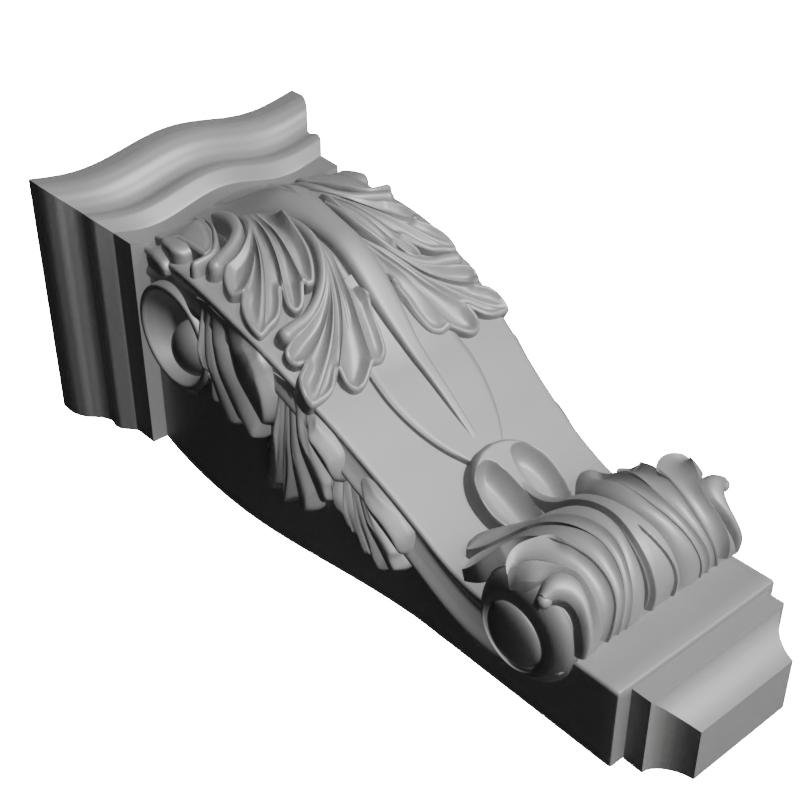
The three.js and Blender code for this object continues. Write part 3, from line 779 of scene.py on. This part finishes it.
def band(left, right, heights, section):
    """A band between two lines of (across, turn), with a height along it and a section
    of (share across, rise) laid over it."""
    t = np.linspace(0, 1, BAND_ROWS)
    one = smooth_through(left)(t * (len(left) - 1))
    two = smooth_through(right)(t * (len(right) - 1))
    high = smooth_through([(h,) for h in heights])(t * (len(heights) - 1))[:, 0]
    rings = []
    for i in range(BAND_ROWS):
        wide = np.linalg.norm((one[i] - two[i]) * (1, MODULES_PER_DEGREE))
        shares, rise = section(t[i], wide)
        line = one[i] + shares[:, None] * (two[i] - one[i])
        top = on_roll(line[:, 0], line[:, 1], high[i] + rise)
        base = on_roll(line[[-1, 0], 0], line[[-1, 0], 1], -SINK)
        rings.append(np.concatenate([top, base]))
    return loft(place(rings))


SHARES = 0.5 - 0.5 * np.cos(np.linspace(0, math.pi, 27))

# A band this wide has its section in full, and a narrower one a share of it
FULL_WIDTH = 2.0


def hollow_section(depth):
    """A concave flute between two arrises."""
    def section(t, wide):
        return SHARES, -depth * min(1.0, wide / FULL_WIDTH) * (1 - (2 * SHARES - 1) ** 2)
    return section


def round_section(depth, tilt=0.0):
    """A convex ridge, which can fall away towards the middle of the leaf."""
    def section(t, wide):
        scale = min(1.0, wide / FULL_WIDTH)
        return SHARES, -scale * (depth * np.abs(2 * SHARES - 1) ** 2.6 + tilt * SHARES**3)
    return section


def slope_section(drop):
    """A hollow slope that climbs from the bare roll to the next arris."""
    def section(t, wide):
        return SHARES, -drop * (1 - SHARES) ** 1.3 * ease(0, 0.25, t)
    return section


# Lines of the lower leaf, left half, from under the roll up to their ends
HOOK_INNER = [
    (-12.6, 176), (-12.5, 160), (-12.2, 146), (-12.1, 136), (-12.4, 127), (-13.1, 121), (-14.2, 118)]
HOOK_OUTER = [
    (-11.5, 176), (-11.3, 160), (-10.8, 145), (-10.2, 131), (-9.9, 118), (-10.4, 109), (-11.5, 104),
    (-13, 104), (-14.3, 110)]
SLOPE_FOOT = [
    (-11.9, 176), (-11.5, 158), (-11, 140), (-10.6, 125), (-10.6, 112), (-11.8, 104), (-13.2, 98),
    (-14, 88), (-14.5, 78)]
CREST = [
    (-10.5, 176), (-10.2, 158), (-9.8, 140), (-9.6, 125), (-9.8, 113), (-10.6, 105), (-11.5, 97),
    (-12.4, 89), (-13.4, 82), (-14.4, 77)]
FLUTE_RIM = [
    (-8.6, 176), (-7.9, 158), (-7.3, 144), (-7, 130), (-7.1, 115), (-7.5, 102), (-7.9, 92), (-8.1, 80),
    (-9.5, 73), (-11, 69), (-12.5, 69), (-13.8, 72), (-14.4, 76.5)]
FINGER_FOOT = [
    (-8.8, 176), (-8.1, 158), (-7.5, 144), (-7.2, 130), (-7.3, 115), (-7.7, 102), (-8.1, 92), (-8.8, 74),
    (-9.8, 55), (-11.4, 42), (-12.8, 28), (-13.2, 15)]
LINE_4 = [
    (-7.1, 176), (-6.9, 160), (-6.3, 146), (-5.7, 134), (-5.2, 120), (-5, 105), (-5.3, 92), (-6.2, 74),
    (-7.6, 50), (-9.4, 28), (-11.6, 16), (-13.2, 14)]
FINGER_LOW = LINE_4[:6] + [(-5.2, 92), (-5.7, 74), (-6.6, 52), (-7.8, 32), (-9.4, 15), (-10.4, 2)]
LINE_5 = [
    (-5.9, 176), (-5.6, 160), (-5, 145), (-4.4, 131), (-3.8, 118), (-3.4, 105), (-3.4, 92), (-3.8, 74),
    (-4.8, 50), (-6.6, 24), (-8.6, 9), (-10.4, 1.5)]
FURROW = [
    (-2.3, 176), (-2.25, 160), (-2.15, 145), (-2, 131), (-1.75, 117), (-1.35, 104), (-1, 90), (-0.9, 72),
    (-1.3, 50), (-2.9, 26), (-5.6, 8), (-8, -1.5), (-9.4, -2), (-10.4, 1)]
CENTRE_EDGE = FURROW[:7] + [(-0.85, 72), (-0.85, 52), (-0.8, 34), (-0.65, 14), (-0.5, -8), (-0.3, -28)]


def centre_section(t, wide):
    """The middle of the leaf, with a thin furrow at each edge and a slit that widens below."""
    shares = np.linspace(0, 1, 81)
    off = np.abs(2 * shares - 1)
    slit = 0.62 * ease(0.42, 0.1, t)
    rise = -0.4 * ease(slit + 0.05, slit - 0.01, off) * ease(0.4, 0.36, t)
    return shares, rise - 0.7 * ease(0.8, 1.0, off) - 0.15 * off**2


# The bands of the left half from the outside in: two lines, heights along them, a section
LOWER_BANDS = [
    (HOOK_INNER, HOOK_OUTER, (0.9, 1.8, 2.1, 2.2, 2.2, 2.0, 1.3), round_section(0.9)),
    (SLOPE_FOOT, CREST, (0.8, 1.8, 2.0, 2.1, 2.1, 1.8, 0.5), slope_section(1.6)),
    (CREST, FLUTE_RIM, (0.8, 1.8, 2.0, 2.1, 2.2, 1.9, 0.5), hollow_section(0.9)),
    (FINGER_FOOT, LINE_4, (0.8, 1.8, 2.1, 2.1, 2.0, 1.6, 0.3), hollow_section(0.6)),
    (FINGER_LOW, LINE_5, (0.8, 1.8, 2.2, 2.2, 2.1, 2.0, 0.4), hollow_section(0.6)),
    (LINE_5, FURROW, (0.8, 1.8, 2.2, 2.3, 2.3, 2.2, 0.4), round_section(0.25, 0.9))]
CENTRE_HEIGHTS = (0.8, 1.7, 2.1, 2.2, 2.2, 2.2, 2.2, 2.4, 2.6, 2.6, 2.3)

# The curled end of the hook: how far across its middle is, its radius, its turn and lift
HOOK_END = -14.0
HOOK_RADIUS = 0.8
HOOK_TURN = 116
HOOK_LIFT = 0.4


def hook_end(side):
    """A small ball, as rings of a sphere about a line across the corbel."""
    out, up = on_roll(0, HOOK_TURN, HOOK_LIFT)[1:]
    return turned([
        (-side * (HOOK_END + HOOK_RADIUS * math.sin(a)), out, up, HOOK_RADIUS * math.cos(a))
        for a in np.radians(np.linspace(-88, 88, 15))], 40)


def lower_leaf(side):
    """One half of the leaf on the roll."""
    bands = [band(flip(left, side), flip(right, side), heights, section)
             for left, right, heights, section in LOWER_BANDS]
    return bands + [hook_end(side)]


def centre():
    return [band(CENTRE_EDGE, flip(CENTRE_EDGE, 1), CENTRE_HEIGHTS, centre_section)]


# The tongue above the roll: a rounded plate with two spoon hollows and a ridge between them
TONGUE_RIM = [(0, 39.5), (2.2, 39.1), (4.2, 37.9), (5.5, 36.0), (5.9, 33.8), (5.6, 31.4), (4.6, 29.2),
              (2.6, 27.6), (0, 27.2)]
SPOON = [(5.1, 30.4), (5.6, 32.6), (5.45, 34.9), (4.7, 36.7), (3.2, 37.8), (1.7, 37.7), (0.9, 36.3),
         (0.55, 34.2), (0.5, 31.8), (0.8, 29.4), (1.8, 27.8), (3.6, 28.3), (5.1, 30.4)]
TONGUE_MIDDLE = (0.0, 33.4)
TONGUE_HIGH = 2.7
TONGUE_ROUND = 0.7
SPOON_DEEP = 2.1
SPOON_SLOPE = 2.1


def inside(outline, points):
    """Which points lie inside a closed line."""
    x, z = points[..., 0, None], points[..., 1, None]
    a, b = outline[:-1], outline[1:]
    spans = (a[:, 1] > z) != (b[:, 1] > z)
    rise = np.where(b[:, 1] == a[:, 1], 1e-9, b[:, 1] - a[:, 1])
    crossing = a[:, 0] + (z - a[:, 1]) / rise * (b[:, 0] - a[:, 0])
    return (spans & (x < crossing)).sum(-1) % 2 == 1


def tongue():
    """The plate, drawn from its middle out to its rim, with the hollows sunk into it."""
    half = smooth_through(TONGUE_RIM)(np.linspace(0, 8, 97))
    rim = np.concatenate([half, (half * (-1, 1))[-2:0:-1]])
    spoon = smooth_through(SPOON)(np.linspace(0, 12, 97))
    share = np.concatenate([np.linspace(0.02, 0.9, 56), np.linspace(0.91, 1, 14)])
    plan = TONGUE_MIDDLE + share[:, None, None] * (rim - TONGUE_MIDDLE)
    folded = np.stack([np.abs(plan[..., 0]), plan[..., 1]], -1)
    edge = distance_to(np.concatenate([rim, rim[:1]]), plan)
    depth = np.where(inside(spoon, folded), distance_to(spoon, folded), 0)
    height = TONGUE_HIGH * np.sqrt(1 - (1 - np.clip(edge / TONGUE_ROUND, 0, 1)) ** 2)
    height = height - SPOON_DEEP * (1 - (1 - np.clip(depth / SPOON_SLOPE, 0, 1)) ** 2)
    rings = [on_front(ring[:, 0], ring[:, 1], high) for ring, high in zip(plan, height)]
    rings.append(on_front(rim[:, 0], rim[:, 1], -SINK))
    return [loft(place(rings))]


# Cap and pendant: a moulding carried round three sides, by one node tree

def add(tree, kind, inputs=(), **settings):
    """A node with its settings, its inputs given as numbers or as other nodes' outputs."""
    node = tree.nodes.new(kind)
    for name, value in settings.items():
        setattr(node, name, value)
    feed(tree, node, inputs)
    return node


def feed(tree, node, inputs):
    for name, value in dict(inputs).items():
        if isinstance(value, bpy.types.NodeSocket):
            tree.links.new(value, node.inputs[name])
        else:
            node.inputs[name].default_value = value


def map_range(tree, value, *limits):
    """A value taken from its low and high limits to the new low and high ones."""
    return add(tree, "ShaderNodeMapRange", enumerate((value, *limits)), clamp=True).outputs["Result"]


def maths(tree, operation, *values):
    return add(tree, "ShaderNodeMath", enumerate(values), operation=operation).outputs["Value"]


def share_curve(tree, value, points):
    """A curve of shares through points, with straight joints at those marked VECTOR."""
    node = add(tree, "ShaderNodeFloatCurve", {"Value": value})
    curve = node.mapping.curves[0]
    while len(curve.points) < len(points):
        curve.points.new(0.5, 0.5)
    for point, (x, y, *kind) in zip(curve.points, points):
        point.location = (x, y)
        point.handle_type = kind[0] if kind else "AUTO"
    node.mapping.update()
    return node.outputs["Value"]


# Points round a level, levels, and each return's share of the way round
AROUND = 241
LEVELS = 110
RETURN = 0.1


def moulding_tree(name, heights, insets):
    """A block with a moulded front and returns: a tube of levels, each drawn to its outline.
    The two curves give each level's share of the height and of the step."""
    tree = bpy.data.node_groups.new(name, "GeometryNodeTree")
    face = tree.interface
    face.new_socket("Geometry", in_out="OUTPUT", socket_type="NodeSocketGeometry")
    for label in ("Width", "Depth", "Foot", "Height", "Step", "Wave", "Wave half"):
        socket = face.new_socket(label, in_out="INPUT", socket_type="NodeSocketFloat")
        socket.subtype = "DISTANCE"
    face.new_socket("Paint", in_out="INPUT", socket_type="NodeSocketMaterial")
    given = add(tree, "NodeGroupInput").outputs

    def m(operation, *values):
        return maths(tree, operation, *values)

    tube = add(tree, "GeometryNodeMeshCylinder", {
        "Vertices": AROUND, "Side Segments": LEVELS, "Radius": 1.0, "Depth": 1.0}, fill_type="NGON")
    where = add(tree, "GeometryNodeInputPosition").outputs["Position"]
    index = add(tree, "GeometryNodeInputIndex").outputs[0]
    around = m("DIVIDE", m("MODULO", index, AROUND), AROUND - 1)
    level = m("ADD", add(tree, "ShaderNodeSeparateXYZ", {0: where}).outputs["Z"], 0.5)
    inset = m("MULTIPLY", share_curve(tree, level, insets), given["Step"])
    rise = m("MULTIPLY", share_curve(tree, level, heights), given["Height"])
    across = map_range(tree, around, RETURN, 1 - RETURN, -1, 1)
    half = m("MULTIPLY", given["Width"], 0.5)
    phase = m("MULTIPLY", m("DIVIDE", m("MULTIPLY", across, half), given["Wave half"]), math.pi)
    wave = m("MULTIPLY", m("COSINE", phase), given["Wave"])
    front = m("ADD", m("SUBTRACT", given["Depth"], inset), wave)
    leg = m("MINIMUM", map_range(tree, around, 0, RETURN, 0, 1),
            map_range(tree, around, 1 - RETURN, 1, 1, 0))
    point = add(tree, "ShaderNodeCombineXYZ", {
        "X": m("MULTIPLY", across, m("SUBTRACT", half, inset)),
        "Y": m("MULTIPLY", m("MULTIPLY", leg, front), -1),
        "Z": m("ADD", given["Foot"], rise)})
    move = add(tree, "GeometryNodeSetPosition", {
        "Geometry": tube.outputs["Mesh"], "Position": point.outputs[0]})
    real = add(tree, "GeometryNodeRealizeInstances", {0: move.outputs[0]})
    painted = add(tree, "GeometryNodeSetMaterial", {
        "Geometry": real.outputs[0], "Material": given["Paint"]})
    add(tree, "NodeGroupOutput", {0: painted.outputs[0]})
    return tree


def grown(name, tree, values):
    """A plain mesh of what a node tree makes from the named values."""
    piece = show(name, bpy.data.meshes.new(name))
    growth = piece.modifiers.new("moulding", "NODES")
    growth.node_group = tree
    for item in tree.interface.items_tree:
        if item.in_out == "INPUT" and item.name in values:
            growth[item.identifier] = values[item.name]
    settle(piece, growth)
    piece.data.shade_smooth()
    piece.data.set_sharp_from_angle(angle=math.radians(SHARP_MOULDING))
    return piece


# Level, share of the height or of the step
CAP_HEIGHTS = [(0, 0, "VECTOR"), (1, 1, "VECTOR")]
CAP_INSETS = [
    (0, 1, "VECTOR"), (0.235, 0.98, "VECTOR"), (0.248, 0.933, "VECTOR"), (0.344, 0.667, "VECTOR"),
    (0.36, 0.64), (0.42, 0.605), (0.47, 0.645), (0.5, 0.66), (0.54, 0.622), (0.634, 0.4),
    (0.717, 0.156), (0.84, 0), (0.97, 0), (1, 0.05)]

PENDANT_BLOCK = 0.62
COVE_HOLLOW = 0.8
COVE_LEVELS = 0.8
COVE = [(COVE_LEVELS * (1 - angle / 90), math.radians(angle)) for angle in (90, 75, 60, 45, 30, 15)]
PENDANT_HEIGHTS = [(level, PENDANT_BLOCK * math.cos(a)) for level, a in COVE] + [
    (COVE_LEVELS, PENDANT_BLOCK, "VECTOR"), (1, 1, "VECTOR")]
PENDANT_INSETS = [(level, mix(1 - math.cos(a), math.sin(a), COVE_HOLLOW)) for level, a in COVE] + [
    (COVE_LEVELS, 0, "VECTOR"), (1, 0, "VECTOR")]


# Materials

def own_material(name):
    """A new material, with its node tree and its shader."""
    material = bpy.data.materials.new(name)
    material.use_nodes = True
    return material, material.node_tree, material.node_tree.nodes["Principled BSDF"]


# Noises of the paint: stretch along the height, scale, detail, roughness
GRAIN = (0.07, 900, 4, 0.6)
CLOUD = (1, 22, 3, 0.5)
SPECK = (1, 2600, 2, 0.5)

# Strength and depth in metres of the bumps, the grain's one before the look's share of grain
GRAIN_BUMP = (0.35, 0.0002)
SPECK_BUMP = (0.06, 0.0001)

# How much the grain tints the paint, the range of its tones and of its roughness, the coat
GRAIN_TINT = 0.25
TONES = (0.93, 1.07)
GLOSS = (-0.04, 0.06)
COAT_ROUGHNESS = 0.5
COAT_IOR = 1.8


def painted_wood():
    """Satin grey paint over wood: fine grain along the height, faint clouding and specks."""
    look = bpy.context.scene.corbel_finish
    material, tree, shader = own_material("painted wood")
    where = add(tree, "ShaderNodeTexCoord").outputs["Object"]

    def noise(stretch, scale, detail, rough):
        mapped = add(tree, "ShaderNodeMapping", {"Vector": where, "Scale": (1, 1, stretch)})
        return add(tree, "ShaderNodeTexNoise", {
            "Vector": mapped.outputs["Vector"], "Scale": scale, "Detail": detail,
            "Roughness": rough}).outputs["Fac"]

    grain = noise(*GRAIN)
    cloud = noise(*CLOUD)
    blend = maths(tree, "MULTIPLY_ADD", grain, GRAIN_TINT * look.grain, cloud)
    tint = add(tree, "ShaderNodeVectorMath", {
        0: look.paint, "Scale": map_range(tree, blend, 0, 1, *TONES)}, operation="SCALE")
    gloss = map_range(tree, cloud, 0, 1, *(look.roughness + off for off in GLOSS))
    bump = add(tree, "ShaderNodeBump", {
        "Height": grain, "Strength": GRAIN_BUMP[0] * look.grain, "Distance": GRAIN_BUMP[1]})
    fine = add(tree, "ShaderNodeBump", {
        "Height": noise(*SPECK), "Strength": SPECK_BUMP[0], "Distance": SPECK_BUMP[1],
        "Normal": bump.outputs["Normal"]})
    feed(tree, shader, {
        "Base Color": tint.outputs["Vector"], "Roughness": gloss, "Metallic": 0.0,
        "Specular IOR Level": 1.0, "Coat Weight": look.satin, "Coat Roughness": COAT_ROUGHNESS,
        "Coat IOR": COAT_IOR, "Normal": fine.outputs["Normal"]})
    return material


def paint():
    return bpy.data.materials.get("painted wood") or painted_wood()


def stage_material():
    material, tree, shader = own_material("pale ground")
    feed(tree, shader, {"Base Color": (0.85, 0.85, 0.85, 1), "Roughness": 0.9})
    return material


# Operators

class CORBEL_OT_cap(bpy.types.Operator):
    """Make the moulded cap with its waved front"""

    bl_idname = "corbel.cap"
    bl_label = "Cap"

    def execute(self, context):
        s = sizes()
        low, high = CAP_BOX
        tree = moulding_tree("cap moulding", CAP_HEIGHTS, CAP_INSETS)
        piece = grown("moulded_cap", tree, {
            "Width": high.x - low.x, "Depth": -low.y - s.cap_wave, "Foot": low.z,
            "Height": high.z - low.z, "Step": s.cap_step, "Wave": s.cap_wave,
            "Wave half": s.cap_wave_half, "Paint": paint()})
        fit(piece, "cap_paint", "cap")
        return {"FINISHED"}


class CORBEL_OT_pendant(bpy.types.Operator):
    """Make the coved pendant under the foot plate"""

    bl_idname = "corbel.pendant"
    bl_label = "Pendant"

    def execute(self, context):
        low, high = PENDANT_BOX
        tree = moulding_tree("pendant moulding", PENDANT_HEIGHTS, PENDANT_INSETS)
        piece = grown("coved_pendant", tree, {
            "Width": high.x - low.x, "Depth": -low.y, "Foot": low.z, "Height": high.z - low.z,
            "Step": sizes().pendant_cove, "Wave": 0.0, "Wave half": 1.0, "Paint": paint()})
        fit(piece, "pendant_paint", "pendant")
        return {"FINISHED"}


class CORBEL_OT_body(bpy.types.Operator):
    """Make the S-shaped body with its scrolls"""

    bl_idname = "corbel.body"
    bl_label = "Body"

    def execute(self, context):
        piece = build("scrolled_body", core())
        cut(piece, mirrored(lambda side: [scroll_hole(side), curl_pit(side)]))
        fit(piece, "body_paint", "body")
        fit(build("scrolls", mirrored(upper_scroll) + lower_roll()), "body_paint")
        return {"FINISHED"}


class CORBEL_OT_leaves(bpy.types.Operator):
    """Carve the leaves on the front and sides"""

    bl_idname = "corbel.leaves"
    bl_label = "Leaves"

    def execute(self, context):
        for name, side in (("left", -1), ("right", 1)):
            fit(build("front_acanthus_" + name, front_leaves(side)), "body_paint")
            fit(build("side_sprays_" + name, side_leaves(side)), "body_paint")
        fit(build("stem_and_sheath", middle_leaf()), "body_paint")
        return {"FINISHED"}


class CORBEL_OT_lower_leaf(bpy.types.Operator):
    """Carve the leaf that flows over the lower roll"""

    bl_idname = "corbel.lower_leaf"
    bl_label = "Lower leaf"

    def execute(self, context):
        fit(build("lower_leaf", mirrored(lower_leaf) + centre() + tongue()), "body_paint")
        return {"FINISHED"}


# The place and turn of the camera at the photograph's viewing angle, in metres and degrees
CAMERA_PLACE = (-0.28986, -0.35248, -0.31694)
CAMERA_TURN = (144.966, 41.5175, -0.0664)
CAMERA_LENS = 66.56
FLOOR = -1.2
FLOOR_HALF = 2
WHITE = (1, 1, 1, 1)
BACKDROP_STRENGTH = 40.0

# Lamps are aimed at one place. The key is two lamps, and only the first casts shadows.
AIM = (0, -0.04, 0)
KEY_PLACE = (0.32, -1.32, -0.91)
KEY_SIZE = 0.4
KEY_SHADOW_SHARE = 0.15
FILL_PLACE = (-1.2, -0.7, 0.2)
BACK_PLACE = (0.7, 1.2, 1.0)


def lamp(name, where, power, size=1.0, shadow=True):
    """A round soft lamp."""
    data = bpy.data.lights.new(name, "AREA")
    data.shape = "DISK"
    data.size = size
    data.energy = power
    data.use_shadow = shadow
    lit = show(name, data)
    lit.location = where
    lit.rotation_euler = (Vector(AIM) - Vector(where)).to_track_quat("-Z", "Y").to_euler()


class CORBEL_OT_stage(bpy.types.Operator):
    """Set the pale floor, the soft light and the camera"""

    bl_idname = "corbel.stage"
    bl_label = "Stage"

    def execute(self, context):
        studio = context.scene.corbel_studio
        world = bpy.data.worlds.new("studio")
        world.use_nodes = True
        tree = world.node_tree
        around = tree.nodes["Background"]
        feed(tree, around, {"Color": WHITE, "Strength": studio.air})
        seen = add(tree, "ShaderNodeBackground", {"Color": WHITE, "Strength": BACKDROP_STRENGTH})
        path = add(tree, "ShaderNodeLightPath")
        choose = add(tree, "ShaderNodeMixShader", {
            0: path.outputs["Is Camera Ray"], 1: around.outputs[0], 2: seen.outputs[0]})
        feed(tree, tree.nodes["World Output"], {"Surface": choose.outputs[0]})
        context.scene.world = world
        lamp("key", KEY_PLACE, KEY_SHADOW_SHARE * studio.key_power, KEY_SIZE)
        lamp("key_soft", KEY_PLACE, (1 - KEY_SHADOW_SHARE) * studio.key_power, KEY_SIZE, shadow=False)
        lamp("fill", FILL_PLACE, studio.fill_power)
        lamp("back", BACK_PLACE, studio.back_power)
        ground = bpy.data.meshes.new("floor")
        corners = [(x * FLOOR_HALF, y * FLOOR_HALF, FLOOR)
                   for x, y in ((-1, -1), (1, -1), (1, 1), (-1, 1))]
        ground.from_pydata(corners, [], [(0, 1, 2, 3)])
        ground.materials.append(stage_material())
        floor = show("floor", ground)
        camera_data = bpy.data.cameras.new("camera")
        camera_data.lens = CAMERA_LENS
        camera = show("camera", camera_data)
        camera.location = CAMERA_PLACE
        camera.rotation_euler = Euler([math.radians(a) for a in CAMERA_TURN])
        context.scene.camera = camera
        return {"FINISHED"}


class CORBEL_PT_panel(bpy.types.Panel):
    """The corbel's sizes, finish and steps"""

    bl_idname = "CORBEL_PT_panel"
    bl_label = "Carved Corbel"
    bl_space_type = "VIEW_3D"
    bl_region_type = "UI"
    bl_category = "Corbel"

    def draw(self, context):
        layout = self.layout
        for group in (context.scene.corbel_sizes, context.scene.corbel_finish,
                      context.scene.corbel_studio):
            for name in group.__annotations__:
                layout.prop(group, name)
        for step in OPERATORS:
            layout.operator(step.bl_idname)


GROUPS = {"corbel_sizes": CorbelSizes, "corbel_finish": CorbelFinish, "corbel_studio": CorbelStudio}
OPERATORS = (CORBEL_OT_stage, CORBEL_OT_cap, CORBEL_OT_body, CORBEL_OT_pendant, CORBEL_OT_leaves,
             CORBEL_OT_lower_leaf)


def register():
    for group in GROUPS.values():
        bpy.utils.register_class(group)
    for name, group in GROUPS.items():
        setattr(bpy.types.Scene, name, bpy.props.PointerProperty(type=group))
    for step in OPERATORS:
        bpy.utils.register_class(step)
    bpy.utils.register_class(CORBEL_PT_panel)


def unregister():
    bpy.utils.unregister_class(CORBEL_PT_panel)
    for step in reversed(OPERATORS):
        bpy.utils.unregister_class(step)
    for name, group in GROUPS.items():
        delattr(bpy.types.Scene, name)
        bpy.utils.unregister_class(group)


def main():
    register()
    bpy.ops.corbel.stage()
    bpy.ops.corbel.cap()
    bpy.ops.corbel.body()
    bpy.ops.corbel.pendant()
    bpy.ops.corbel.leaves()
    bpy.ops.corbel.lower_leaf()
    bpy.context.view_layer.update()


if __name__ == "__main__":
    main()
